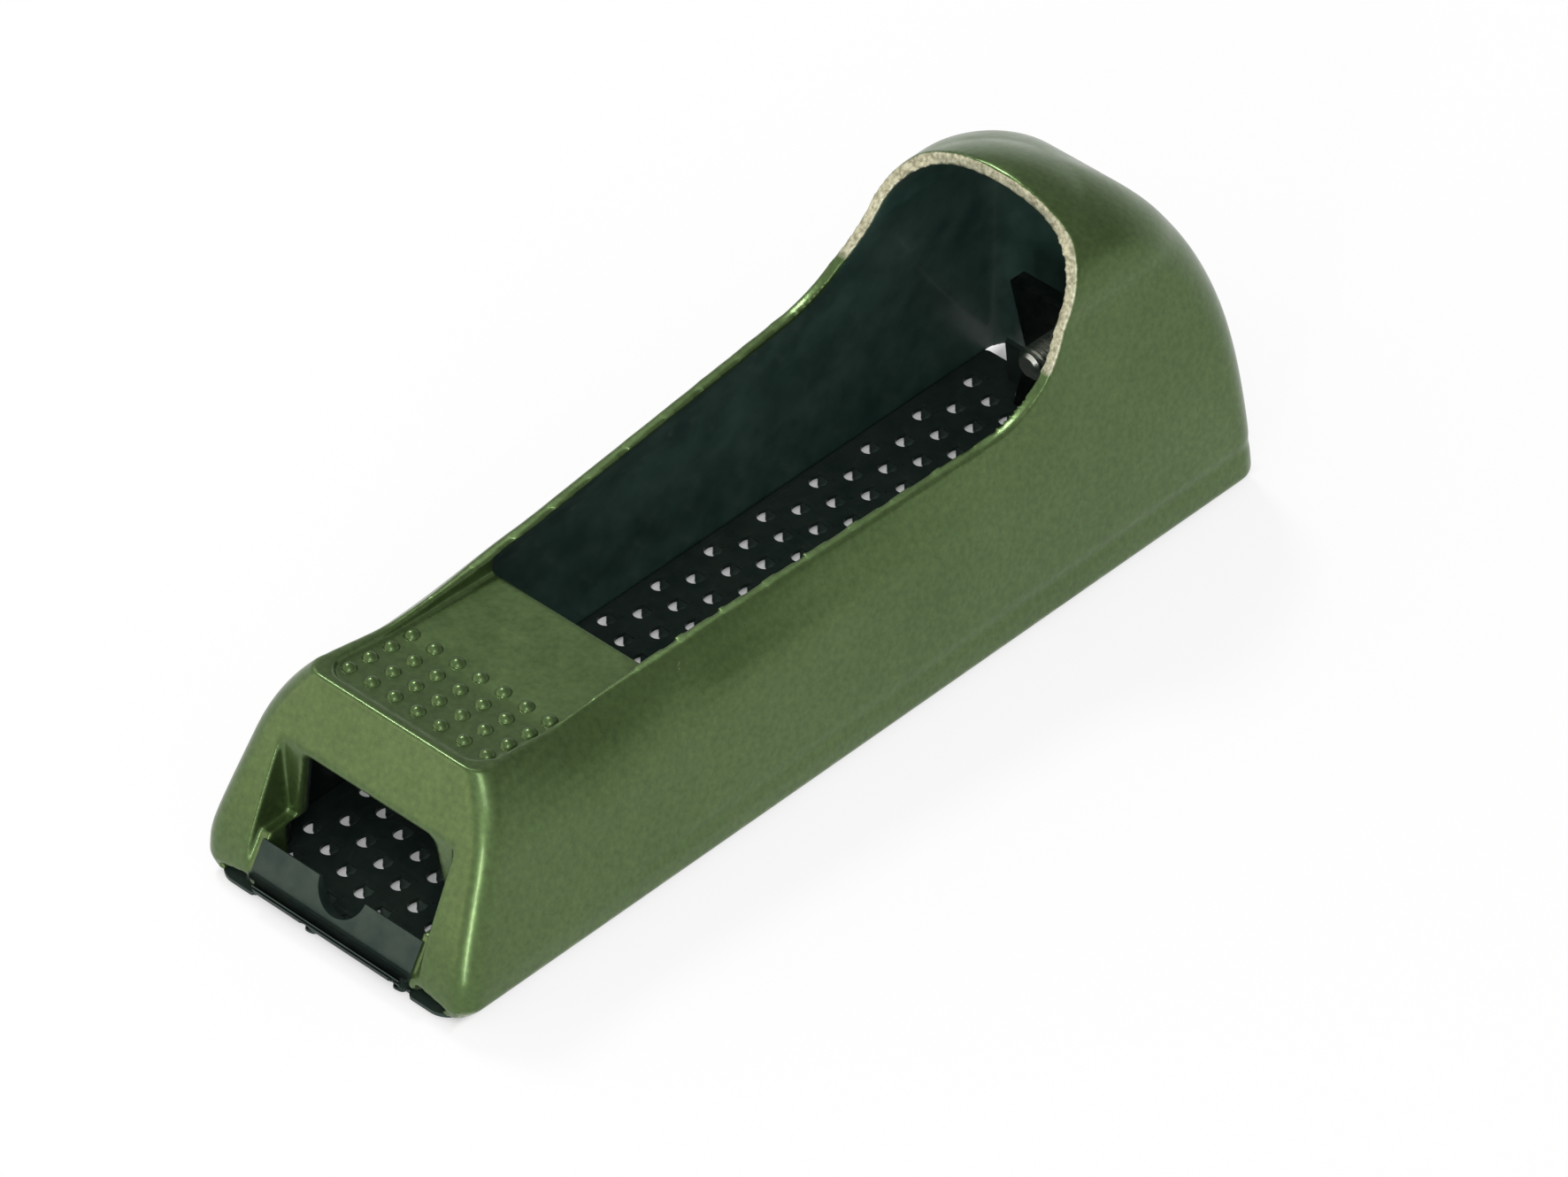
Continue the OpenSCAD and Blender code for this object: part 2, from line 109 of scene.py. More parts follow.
# Finger rest: length, half width, thickness, plan corner, land behind the crease,
# depth below the rim (at the front, middle and end) and radius of its bend
REST_L = 33.3
REST_HALF = 15.0
REST_T = 2.4
REST_CORNER = 4.0
REST_LAND = 1.4
REST_DEPTH = (0.5, 1.1, 2.6)
REST_BEND = 22

# Studs on the rest: radius and height, pitch across and along, first row
PIP = (1.2, 0.75)
PIP_COLUMNS = 7
PIP_ROWS = 4
PIP_PITCH = (4.4, 3.85)
PIP_FIRST = 4.6

# Pocket in the nose, lugs that the blade hooks round, window and foot relief
POCKET_HALF = 16.6
POCKET_BACK = 8.6
POCKET_WALL = 2.2
LUG_TOP = 8.3
LUG_BACK = 6.6
LUG_SPACE_HALF = 18.6
WINDOW_HALF = (14.6, 12.8)
WINDOW_TOP = 20.4
WINDOW_R = 2.0
FOOT_RELIEF = (3.0, 0.4)
FOOT_SLOPE = (4.2, 1.8)

# Screw's place in the rear wall: height, radius, running clearance, and the
# seat of the head and the boss inside (radius, depth)
SCREW_Z = 17.6
SCREW_R = 2.5
BORE_PLAY = 0.08
SEAT = (6.2, 1.85)
BOSS = (7.5, 2.5)

# Places where the enamel is chipped: station across, along and up, and radius
CHIPS = [(18.6, 49.5, 28.0, 0.9), (17.6, 139.0, 47.5, 0.55), (23.9, 33.0, 14.0, 0.4),
         (2.0, 10.0, 23.8, 0.4), (-20.0, 63.0, 29.8, 0.8), (25.2, 69.0, 1.0, 0.9),
         (25.2, 96.0, 1.0, 0.8), (25.3, 101.5, 1.2, 0.7)]

# Bare cut face of the arch: how far it reaches from the rim in side view, and the
# height where it fades in
CUT_HALF = 0.26
CUT_FROM_Z = 36.8

# Fineness of the casting's mesh
VOXEL = 0.33
EDGE_SMOOTHING = (0.5, 6)
CASTING_FACES = 170000

# Blade: sheet, bent ends, tabs with their notch, and ears beside the tabs
BLADE_FRONT = -0.95
BLADE_L = 152.3
BLADE_W = 46.4
BLADE_T = 0.6
BEND_R = 2.75
BEND_ANGLE = 130
TAB_L = 4.9
TAB_HALF = 15.4
TAB_CUT = 14.2
TAB_PLAY = 0.3
NOTCH_R = 4.4
EAR_INNER = 14.7
EAR_SHORT = 0.8
EAR_CORNERS = (4, 1.6)
FRONT_BEND = BLADE_FRONT + BEND_R
REAR_BEND = BLADE_FRONT + BLADE_L - BEND_R
BEND_Z = BEND_R - BLADE_T

# Teeth: first place, step along a row, step to the next row, margins (across,
# along), and the places on the front bend
TOOTH_FIRST = (-20.24, 71.83)
TOOTH_STEP = (2.525, 4.397)
TOOTH_ROW = (4.867, -1.498)
TOOTH_MARGIN = (2.4, 1.5)
BEND_TEETH = [(-9.25, 1.2), (7.85, 1.1), (-4.38, -0.3), (12.7, -0.4)]
THROAT_R = 1.3
TONGUE_HALF = 1.28
TONGUE_ROOT = 2.05
TONGUE_L = 1.9
TONGUE_T = 0.4
TOOTH_H = 0.8

# Tension gear: head, washer and ring as radius and thickness, gaps and the hook
HEAD = (4.6, 2.4)
WASHER = (5.6, 0.8)
RING = (4.6, 0.6)
STACK_GAP = 0.05
HEAD_SLOT = (0.6, 1.3)
THREAD_DEPTH = 0.42
THREAD_PITCH = 0.9
SCREW_PAST_HOOK = 8.08
HOOK_HALF = 11
HOOK_T = 3
HOOK_ABOVE = 5
HOOK_PLAY = 0.2
HOOK_EASE = 0.3

# Camera of the photograph: focal length and width in pixels, place and turn
FOCAL_PIXELS = 11182.356
PHOTO_WIDTH = 1772
SENSOR_WIDTH = 36
CAMERA_PLACE = (0.752133, -0.715033, 0.882538)
CAMERA_RIGHT = (0.7131174, 0.7002092, -0.0342163)
CAMERA_UP = (-0.4312297, 0.4766145, 0.7660806)
CAMERA_BACK = (0.5527246, -0.5315503, 0.6418331)


def clamp01(t):
    return min(1.0, max(0.0, t))


def ease(t):
    u = clamp01(t)
    return u * u * (3 - 2 * u)


def mix(a, b, t):
    return a + (b - a) * t


def rounded_path(points, radii, steps=14):
    """A side view's path with an arc at each inner point."""
    path = [Vector(points[0])]
    for before, corner, after, radius in zip(points, points[1:], points[2:], radii):
        a, b, c = Vector(before), Vector(corner), Vector(after)
        back, ahead = (a - b).normalized(), (c - b).normalized()
        turn = math.pi - back.angle(ahead)
        run = radius * math.tan(turn / 2)
        start, end = b + back * run, b + ahead * run
        centre = b + ((start + end) / 2 - b).normalized() * (radius / math.cos(turn / 2))
        for k in range(steps + 1):
            t = turn * k / steps
            path.append(centre + (start - centre) * (math.sin(turn - t) / math.sin(turn))
                        + (end - centre) * (math.sin(t) / math.sin(turn)))
    path.append(Vector(points[-1]))
    return path


RIM_PATH = rounded_path([CREASE, RIM_LOW, ARCH_FOOT, ARCH_TURN, ARCH_END], RIM_RADII)


def rim_z(y):
    """Height of the rim's straight runs at a station."""
    if y > RIM_LOW[0]:
        return mix(RIM_LOW[1], ARCH_FOOT[1], (y - RIM_LOW[0]) / (ARCH_FOOT[0] - RIM_LOW[0]))
    return mix(CREASE[1], RIM_LOW[1], clamp01((y - CREASE[0]) / (RIM_LOW[0] - CREASE[0])))


def nose_y(z):
    """Station of the nose's face at a height: upright at the foot, then leaning back."""
    def soft(h):
        over = h - NOSE_TURN[0]
        return (over + math.sqrt(over ** 2 + NOSE_TURN[1] ** 2)) / 2
    return NOSE_LEAN * (soft(z) - soft(0))


def front_half(y, z):
    """Half width of the front section."""
    depth, middle, reach = WAIST
    u = (y - middle) / reach
    waist = math.cos(math.pi / 2 * u) ** 2 if abs(u) < 1 else 0
    near = max(0, 1 - max(-1, rim_z(y) - z) / RIM_DRAW[1])
    drawn_in = (RIM_DRAW[0] + depth * waist) * near ** 2
    return HALF_W - FLANK_DRAFT * max(0, z - SKIRT_H) - drawn_in


def rear_half(z):
    """Half width of the dome's section, below its roof."""
    return HALF_W - (HALF_W - DOME_HALF) * clamp01(z / DOME_SPRING) ** DOME_FLANK_POWER


def roof_share(z, top):
    """How much of the half width is left at a height in the dome's roof."""
    if z <= DOME_SPRING:
        return 1
    up = (z - DOME_SPRING) / (top - DOME_SPRING)
    return (1 - up ** DOME_ROOF_POWER) ** (1 / DOME_ROOF_POWER)


def flank_mix(y, z):
    """Share of the dome's section in the flank."""
    run = ease((y - PAD_RUN[0]) / PAD_RUN[1])
    foot = ease((z - PAD_FOOT[0]) / PAD_FOOT[1])
    top = ease((PAD_TOP[0] - z) / PAD_TOP[1])
    pad = PAD_SHARE * run * foot * top
    return mix(pad, 1, clamp01((y - FLANK_TURN[0]) / FLANK_TURN[1]))


def half_at(y, z, inner):
    """Half width of the outer skin, or of the hollow, at a station and height."""
    half = mix(front_half(y, z), rear_half(z), flank_mix(y, z))
    if inner:
        wall = mix(WALL_FOOT, WALL_RIM, clamp01(z / RIM_LOW[1]))
        return (half - wall) * roof_share(z, BODY_H - WALL_RIM)
    depth, over, width = SKIRT_LINE
    start, run = SKIRT_LINE_START
    line = depth * math.exp(-((z - SKIRT_H - over) / width) ** 2) * ease((y - start) / run)
    chamfer = SKIRT_CHAMFER[0] * max(0, 1 - z / SKIRT_CHAMFER[1])
    return (half - line) * roof_share(z, BODY_H) - chamfer


def skin_rear(z, inner):
    """Station of the rear wall at a height: upright, then curving in to the crown."""
    end = BODY_L - (WALL_REAR if inner else 0)
    top = BODY_H - (WALL_RIM if inner else 0)
    if z <= REAR_UPRIGHT:
        return end
    up = (z - REAR_UPRIGHT) / (top - REAR_UPRIGHT)
    return DOME_TOP_Y + (end - DOME_TOP_Y) * (1 - up ** REAR_POWERS[0]) ** (1 / REAR_POWERS[1])


def rear_corner(z):
    """Radius of the upright rear corners at a height."""
    return mix(REAR_CORNER[0], REAR_CORNER[1], clamp01(z / BODY_H) ** 2)


def skin_outline(z, inner, side_steps=52, front_steps=10, rear_steps=14):
    """Half of the skin's outline at one height, from the nose to the tail."""
    face = nose_y(min(z, NOSE_TOP))
    y0 = max(face + WALL_REAR, POCKET_BACK + POCKET_WALL) if inner else face
    y1 = skin_rear(z, inner)
    front_r = FRONT_CORNER - (1.4 if inner else 0)
    rear_r = max(0.6, rear_corner(z) - (1.2 if inner else 0))
    rear_r = min(rear_r, half_at(y1, z, inner) * 0.98, (y1 - y0) * 0.5)
    side = []
    for i in range(front_steps + 1):
        a = math.pi / 2 * i / front_steps
        y = y0 + front_r * (1 - math.cos(a))
        side.append((half_at(y, z, inner) - front_r * (1 - math.sin(a)), y))
    for i in range(1, side_steps):
        y = mix(y0 + front_r, y1 - rear_r, i / side_steps)
        side.append((half_at(y, z, inner), y))
    for i in range(rear_steps + 1):
        a = math.pi / 2 * i / rear_steps
        y = y1 - rear_r * (1 - math.sin(a))
        side.append((half_at(y, z, inner) - rear_r * (1 - math.cos(a)), y))
    return side


def finish_mesh(bm, name):
    """Turns a bmesh into an object, with its faces pointing outwards."""
    bmesh.ops.recalc_face_normals(bm, faces=bm.faces)
    mesh = bpy.data.meshes.new(name)
    bm.to_mesh(mesh)
    bm.free()
    obj = bpy.data.objects.new(name, mesh)
    bpy.context.scene.collection.objects.link(obj)
    return obj


def skin_solid(inner):
    """The casting's outer skin, or the hollow in it, as one closed solid."""
    low = -1.0 if inner else 0.0
    top = BODY_H - (WALL_RIM if inner else 0)
    foot, brow = 1.5, 33
    crown_share = 0.998
    heights = [low, 0.5, 1.0, foot]
    heights += [foot + (brow - foot) * i / 21 for i in range(1, 22)]
    heights += [brow + (top - brow) * math.sin(math.pi / 2 * i / 26) * crown_share
                for i in range(1, 27)]
    rings = []
    for z in heights:
        side = skin_outline(z, inner)
        rings.append(side + [(-x, y) for x, y in reversed(side)])
    around, up = len(rings[0]), len(heights)
    bm = bmesh.new()
    bmesh.ops.create_grid(bm, x_segments=around, y_segments=up - 1, size=1)
    for v in bm.verts:
        i = round((v.co.x + 1) / 2 * around) % around
        k = round((v.co.y + 1) / 2 * (up - 1))
        v.co = (*rings[k][i], heights[k])
    bmesh.ops.remove_doubles(bm, verts=bm.verts, dist=1e-4)
    bmesh.ops.holes_fill(bm, edges=[e for e in bm.edges if e.is_boundary], sides=0)
    return finish_mesh(bm, "hollow" if inner else "skin")


def pull_outline(bm, corners, pull):
    """Makes a face of its corners and pulls it into a solid."""
    face = bmesh.ops.contextual_create(bm, geom=[bm.verts.new(c) for c in corners])["faces"]
    pulled = bmesh.ops.extrude_face_region(bm, geom=face)["geom"]
    bmesh.ops.translate(bm, vec=pull, verts=[g for g in pulled if isinstance(g, bmesh.types.BMVert)])


def prism(points, plane, low, high, name="prism"):
    """A side view (plane X), front view (plane Y) or plan (plane Z) pulled into a solid."""
    place = {"X": lambda a, b, t: (t, a, b), "Y": lambda a, b, t: (a, t, b),
             "Z": lambda a, b, t: (a, b, t)}[plane]
    bm = bmesh.new()
    pull_outline(bm, [place(a, b, low) for a, b in points], place(0, 0, high - low))
    return finish_mesh(bm, name)


def rod(r, y0, y1):
    """A cylinder on the screw's axis between two stations."""
    bm = bmesh.new()
    turn = Matrix.Translation((0, (y0 + y1) / 2, SCREW_Z)) @ Matrix.Rotation(math.pi / 2, 4, "X")
    bmesh.ops.create_cone(bm, cap_ends=True, segments=64, radius1=r, radius2=r,
                          depth=y1 - y0, matrix=turn)
    return finish_mesh(bm, "rod")


def drop(*objs):
    for obj in objs:
        bpy.data.objects.remove(obj)


def join(parts, name):
    """One object of several parts' meshes, which are dropped."""
    bm = bmesh.new()
    for part in parts:
        bm.from_mesh(part.data)
    drop(*parts)
    return finish_mesh(bm, name)


def settle(obj):
    """Makes an object's modifiers part of its mesh."""
    graph = bpy.context.evaluated_depsgraph_get()
    mesh = bpy.data.meshes.new_from_object(obj.evaluated_get(graph), depsgraph=graph)
    obj.modifiers.clear()
    obj.data = mesh


def combine(obj, tools, how="DIFFERENCE"):
    """Cuts with the tools, or adds or intersects them, and drops them."""
    for tool in tools:
        mod = obj.modifiers.new("combine", "BOOLEAN")
        mod.operation = how
        mod.solver = "MANIFOLD"
        mod.object = tool
    settle(obj)
    drop(*tools)
    return obj


REST_END = CREASE[0] + REST_L
REST_PATH = rounded_path([(CREASE[0] - 2, CREASE[1] - REST_DEPTH[0]),
                          (RIM_LOW[0], RIM_LOW[1] - REST_DEPTH[1]),
                          (REST_END, rim_z(REST_END) - REST_DEPTH[2])], [REST_BEND])


def rest_z(y):
    """Height of the finger rest at a station."""
    for a, b in zip(REST_PATH, REST_PATH[1:]):
        if y <= b.x:
            return mix(a.y, b.y, clamp01((y - a.x) / (b.x - a.x)))
    return REST_PATH[-1].y


def bend_arc(r, steps):
    """Side view of the front bend at one radius, about its centre, from the flat up."""
    turns = [math.radians(270 - BEND_ANGLE * i / steps) for i in range(steps + 1)]
    return [Vector((r * math.cos(a), r * math.sin(a))) for a in turns]


def along_tab(length):
    """A step along the front tab in side view."""
    lean = math.radians(180 - BEND_ANGLE)
    return length * Vector((math.cos(lean), math.sin(lean)))


def hooked_nose():
    """What a tab hooks round, with its bend's centre at the origin."""
    arc = bend_arc(BEND_R - BLADE_T - TAB_PLAY, 16)
    return arc + [arc[-1] + along_tab(TAB_L - 0.1)]


HOOKED_NOSE = hooked_nose()


def round_rect(x0, x1, y0, y1, radii, steps=10):
    """A rectangle's outline with a radius at each corner, from the lower left."""
    corners = ((x0, y0, 1, 1, 180), (x1, y0, -1, 1, 270), (x1, y1, -1, -1, 0), (x0, y1, 1, -1, 90))
    pts = []
    for (x, y, sx, sy, start), r in zip(corners, radii):
        if r == 0:
            pts.append((x, y))
            continue
        for i in range(steps + 1):
            a = math.radians(start + 90 * i / steps)
            pts.append((x + sx * r + r * math.cos(a), y + sy * r + r * math.sin(a)))
    return pts


def pips():
    """The rows of studs on the finger rest, as one mesh of round caps."""
    bm = bmesh.new()
    radius, height = PIP
    ball = (radius ** 2 + height ** 2) / (2 * height)
    for row in range(PIP_ROWS):
        y = CREASE[0] + PIP_FIRST + PIP_PITCH[1] * row
        z = rest_z(y) + 0.05 + height - ball
        for column in range(PIP_COLUMNS):
            x = (column - (PIP_COLUMNS - 1) / 2) * PIP_PITCH[0]
            bmesh.ops.create_uvsphere(bm, u_segments=28, v_segments=20, radius=ball,
                                      matrix=Matrix.Translation((x, y, z)))
    front, back = 18, 26
    slope = (rest_z(back) - rest_z(front)) / (back - front)
    cut = bmesh.ops.bisect_plane(bm, geom=bm.verts[:] + bm.edges[:] + bm.faces[:], clear_inner=True,
                                 plane_co=(0, front, rest_z(front) - 0.3),
                                 plane_no=(0, -slope, 1))["geom_cut"]
    rims = [g for g in cut if isinstance(g, bmesh.types.BMEdge)]
    bmesh.ops.holes_fill(bm, edges=rims, sides=0)
    return finish_mesh(bm, "pips")


def window_outline():
    """The front window, wide at the lugs and round at its upper corners."""
    low_half, high_half = WINDOW_HALF
    pts = [(-low_half, -FAR), (low_half, -FAR), (low_half, LUG_TOP)]
    for side, start in ((1, 0), (-1, 90)):
        for i in range(11):
            a = math.radians(start + 9 * i)
            pts.append((side * (high_half - WINDOW_R) + WINDOW_R * math.cos(a),
                        WINDOW_TOP - WINDOW_R + WINDOW_R * math.sin(a)))
    return pts + [(-low_half, LUG_TOP)]


def foot_gap(side):
    """The relief under the front foot, rising beside the pocket, on one side."""
    reach, low = FOOT_RELIEF
    run, rise = FOOT_SLOPE
    inner = POCKET_HALF - 0.5
    pts = [(inner, -1), (HALF_W, -1), (HALF_W, low), (POCKET_HALF + run, low),
           (POCKET_HALF, low + rise), (inner, low + rise)]
    return prism([(side * x, z) for x, z in pts], "Y", -FAR, reach, "foot_gap")


def hollow():
    """The space inside the casting, with the underside of the finger rest as its ceiling."""
    space = skin_solid(True)
    under = [(p.x, p.y - REST_T) for p in REST_PATH]
    ceiling = prism([(-FAR, under[0][1])] + under + [(REST_END, ABOVE), (-FAR, ABOVE)],
                    "X", -FAR, FAR, "ceiling")
    return combine(space, [ceiling])


def opening():
    """What lies above the rim and ahead of the arch."""
    brow = CREASE[1] + 1.4
    return prism([(-FAR, ABOVE), (-FAR, brow), (CREASE[0] - 2, brow)] + RIM_PATH
                 + [(ARCH_END[0], ABOVE)], "X", -FAR, FAR, "opening")


def rest_recess():
    """The finger rest's shallow recess, with round front corners in plan."""
    end = REST_END + 1
    side = prism(REST_PATH + [(end, REST_PATH[-1].y), (end, BODY_H), (REST_PATH[0].x, BODY_H)],
                 "X", -HALF_W, HALF_W, "recess")
    plan = prism(round_rect(-REST_HALF, REST_HALF, CREASE[0] + REST_LAND, REST_END + 3,
                            (REST_CORNER, REST_CORNER, 0, 0)), "Z", 0, BODY_H, "plan")
    return combine(side, [plan], "INTERSECT")


def nose_cutters():
    """The pocket above the lugs, the slot of the hooked tab, and the window."""
    brow = CREASE[1] - 3
    pocket = prism([(-POCKET_HALF, LUG_TOP), (POCKET_HALF, LUG_TOP), (POCKET_HALF, brow),
                    (-POCKET_HALF, brow)], "Y", -FAR, POCKET_BACK, "pocket")
    top = LUG_TOP + 0.01
    nose = [(p.x + FRONT_BEND, p.y + BEND_Z) for p in reversed(HOOKED_NOSE)]
    slot = prism([(-FAR, -FAR), (-FAR, top), (nose[0][0] + 0.1, top)] + nose + [(FRONT_BEND, -FAR)],
                 "X", -POCKET_HALF, POCKET_HALF, "slot")
    window = prism(window_outline(), "Y", -FAR, POCKET_BACK + POCKET_WALL + 6, "window")
    return [pocket, slot, window]


def space_behind_lugs():
    """Cuts the lugs off behind, so that the space between them and the inside is open."""
    half, top = LUG_SPACE_HALF, LUG_TOP - 0.4
    return prism([(-half, -FAR), (half, -FAR), (half, top), (-half, top)], "Y",
                 LUG_BACK, POCKET_BACK + POCKET_WALL + 1, "space_behind_lugs")


def casting():
    """The body casting: a hollow shell with its rest, pocket, window, boss and seat."""
    skin = skin_solid(False)
    combine(skin, [hollow(), opening(), rest_recess()])
    inner_rear = BODY_L - WALL_REAR
    combine(skin, [rod(BOSS[0], inner_rear - BOSS[1], inner_rear + 0.5)], "UNION")
    bore = rod(SCREW_R + BORE_PLAY, BODY_L - 8, BODY_L + 1)
    seat = rod(SEAT[0], BODY_L - SEAT[1], BODY_L + 1)
    combine(skin, nose_cutters() + [foot_gap(1), foot_gap(-1), space_behind_lugs(), bore, seat])
    fine = skin.modifiers.new("fine skin", "REMESH")
    fine.mode = "VOXEL"
    fine.voxel_size = VOXEL
    cast_edges = skin.modifiers.new("cast edges", "SMOOTH")
    cast_edges.factor, cast_edges.iterations = EDGE_SMOOTHING
    settle(skin)
    triangles = sum(len(p.vertices) - 2 for p in skin.data.polygons)
    thin = skin.modifiers.new("fewer faces", "DECIMATE")
    thin.ratio = min(1, CASTING_FACES / triangles)
    settle(skin)
    return join([skin, pips()], "cast_body")


def rim_distance(y, z):
    """Distance in side view from the rim."""
    best = 1e9
    p = Vector((y, z))
    for a, b in zip(RIM_PATH, RIM_PATH[1:]):
        ab = b - a
        t = clamp01((p - a).dot(ab) / ab.length_squared)
        best = min(best, (p - a - ab * t).length)
    return best


def outline_half(y, z):
    """Half width of the outer skin at a station, with its upright corners."""
    if z >= BODY_H - 0.02:
        return 0
    rear_y = skin_rear(z, False)
    half = half_at(min(y, rear_y), z, False)
    if y < NOSE_DEPTH:
        ahead = clamp01((nose_y(min(z, NOSE_TOP)) + FRONT_CORNER - y) / FRONT_CORNER)
        return half - FRONT_CORNER * (1 - math.sqrt(1 - ahead * ahead))
    r = min(rear_corner(z), half * 0.98)
    into = clamp01((y - rear_y + r) / r)
    return half - r * (1 - math.sqrt(1 - into * into))


def under_skin(x, y, z):
    """Depth in millimetres past the line where the painted shade inside begins."""
    level = min(z, BODY_H - 0.3)
    depth = min(outline_half(y, level) - abs(x) - 0.8, skin_rear(level, False) - y - 1.5,
                y - nose_y(min(z, NOSE_TOP)) - 1.4, y - POCKET_BACK - 1.2)
    if y < REST_END + 0.2:
        depth = min(depth, rest_z(y) - 0.5 - z)
    if z > 34:
        depth = min(depth, outline_half(y, z + 1.0) - abs(x))
    return depth


def mark_casting(obj):
    """Stores where the casting is bare, where shade is painted inside it, and where it is worn, for its
    material.

    The cut face and the painted inside shade are stored as distances in millimetres from their edge,
    which the material turns into a clean line."""
    mesh = obj.data
    names = ("cut_face", "inside", "foot", "chip")
    values = {n: [0.0] * len(mesh.vertices) for n in names}
    for i, v in enumerate(mesh.vertices):
        x, y, z = v.co
        depth = under_skin(x, y, z)
        gap = rim_distance(y, z) if z > 24 and y > 8 else 4.0
        bare = -1.0
        if y > 100 and z > 32:
            roof = outline_half(y, z + 0.12) - abs(x) - 0.06
            bare = min(CUT_HALF - gap, roof, (z - CUT_FROM_Z) / 3)
        values["cut_face"][i] = max(-1.0, bare)
        # The painted inside shade stops a band short of the rim
        rim_band = mix(0.75, 0.34, ease((z - 33) / 4))
        values["inside"][i] = max(-1.0, min(1.0, depth, gap - rim_band))
        values["foot"][i] = clamp01((2.0 - z) / 2.0) * clamp01(0.6 - depth)
        values["chip"][i] = max(clamp01(1.3 - (v.co - Vector(c[:3])).length / c[3]) for c in CHIPS)
    for n in names:
        mesh.attributes.new(n, "FLOAT", "POINT").data.foreach_set("value", values[n])


def blade_ear(end_y, way, corner):
    """Plan of the right ear at one end of the blade, from its inner side outwards."""
    half = BLADE_W / 2
    ear_l = BEND_R - EAR_SHORT
    pts = []
    for i in range(7):
        a = math.radians(15 * i)
        pts.append((EAR_INNER + 1 - math.cos(a), end_y + way * (ear_l - 1 + math.sin(a))))
    for i in range(13):
        a = math.radians(7.5 * i)
        pts.append((half - corner + corner * math.sin(a),
                    end_y + way * (ear_l - corner + corner * math.cos(a))))
    return pts


def blade_plan():
    """Outline of the blade's flat sheet with its four ears."""
    front = blade_ear(FRONT_BEND, -1, EAR_CORNERS[0])
    rear = blade_ear(REAR_BEND, 1, EAR_CORNERS[1])
    right = [(EAR_INNER, FRONT_BEND)] + front + rear[::-1] + [(EAR_INNER, REAR_BEND)]
    return right + [(-x, y) for x, y in reversed(right)]


def tooth_places():
    """Places of the teeth on the flat of the blade, in slanting rows."""
    places = []
    for i in range(-40, 61):
        for j in range(-30, 31):
            x = TOOTH_FIRST[0] + i * TOOTH_STEP[0] + j * TOOTH_ROW[0]
            y = TOOTH_FIRST[1] + i * TOOTH_STEP[1] + j * TOOTH_ROW[1]
            inside = FRONT_BEND + TOOTH_MARGIN[1] < y < REAR_BEND - TOOTH_MARGIN[1]
            if inside and abs(x) < BLADE_W / 2 - TOOTH_MARGIN[0]:
                places.append((x, y))
    return places


def blade_end(front):
    """One bent-up tab with its round notch, drawn at the front and turned for the rear."""
    overlap = 1.0
    outline = [(overlap, -BEND_R)]
    outer, inner = bend_arc(BEND_R, 24), bend_arc(BEND_R - BLADE_T, 24)
    outline += outer + [outer[-1] + along_tab(TAB_L), inner[-1] + along_tab(TAB_L)] + inner[::-1]
    outline.append((overlap, BLADE_T - BEND_R))
    tab = prism(outline, "X", -TAB_HALF, TAB_HALF, "tab")
    tools = []
    for side in (-1, 1):
        x0, x1 = sorted((side * TAB_CUT, side * FAR))
        tools.append(prism([(x0, -FAR), (x1, -FAR), (x1, 0.6), (x0, 0.6)], "Y", -FAR, 0.4))
    notch = bmesh.new()
    place = Matrix.Rotation(math.radians(90 - BEND_ANGLE), 4, "X") \
        @ Matrix.Translation((0, 0, TAB_L + 0.4)) @ Matrix.Rotation(math.pi / 2, 4, "X")
    bmesh.ops.create_cone(notch, cap_ends=True, segments=64, radius1=NOTCH_R, radius2=NOTCH_R,
                          depth=4 * BEND_R, matrix=place)
    tools.append(finish_mesh(notch, "notch"))
    combine(tab, tools)
    if front:
        tab.data.transform(Matrix.Translation((0, FRONT_BEND, BEND_Z)))
        return tab
    tab.data.transform(Matrix.Translation((0, REAR_BEND, BEND_Z)) @ Matrix.Scale(-1, 4, (0, 1, 0)))
    tab.data.flip_normals()
    return tab


def round_bend(x, y, z):
    """Where a point drawn on the flat blade goes once its front end is bent up."""
    if y >= FRONT_BEND:
        return Vector((x, y, z))
    turn = (FRONT_BEND - y) / (BEND_R - BLADE_T / 2)
    r = BEND_Z - z
    return Vector((x, FRONT_BEND - r * math.sin(turn), BEND_Z - r * math.cos(turn)))


def tooth_tongues(places):
    """All the teeth: each is a dished tongue pressed down from behind its throat."""
    bm = bmesh.new()
    for x, y in places:
        grid = bmesh.ops.create_grid(bm, x_segments=4, y_segments=5, size=1)["verts"]
        for v in grid:
            u, t = v.co.x, (1 - v.co.y) / 2
            half = TONGUE_HALF * math.sqrt(max(0.04, 1 - (max(0, t - 0.35) / 0.8) ** 2))
            along = TONGUE_ROOT - (TONGUE_L - 0.55 * u * u) * t
            dish = 0.24 * u * u * math.sin(math.pi * min(1, t + 0.15))
            fall = 0.03 + TOOTH_H * ease(t * 0.9) - dish
            v.co = round_bend(x + u * half, y + along, -fall)
        faces = list({f for v in grid for f in v.link_faces})
        bmesh.ops.solidify(bm, geom=faces, thickness=TONGUE_T)
    return finish_mesh(bm, "tongues")


def throats(places):
    """The holes under the teeth: round ahead, drawn out towards the tooth behind."""
    plan = []
    for i in range(17):
        a = math.radians(180 + 180 * i / 16)
        plan.append((THROAT_R * math.cos(a), THROAT_R * math.sin(a)))
    plan += [(THROAT_R - 0.03, 0.5), (THROAT_R - 0.35, 1.3),
             (0.35 - THROAT_R, 1.3), (0.03 - THROAT_R, 0.5)]
    bm = bmesh.new()
    for x, y in places:
        pull_outline(bm, [(x + a, y + b, -1.5) for a, b in plan], (0, 0, 3))
    for v in bm.verts:
        v.co = round_bend(*v.co)
    return finish_mesh(bm, "throats")


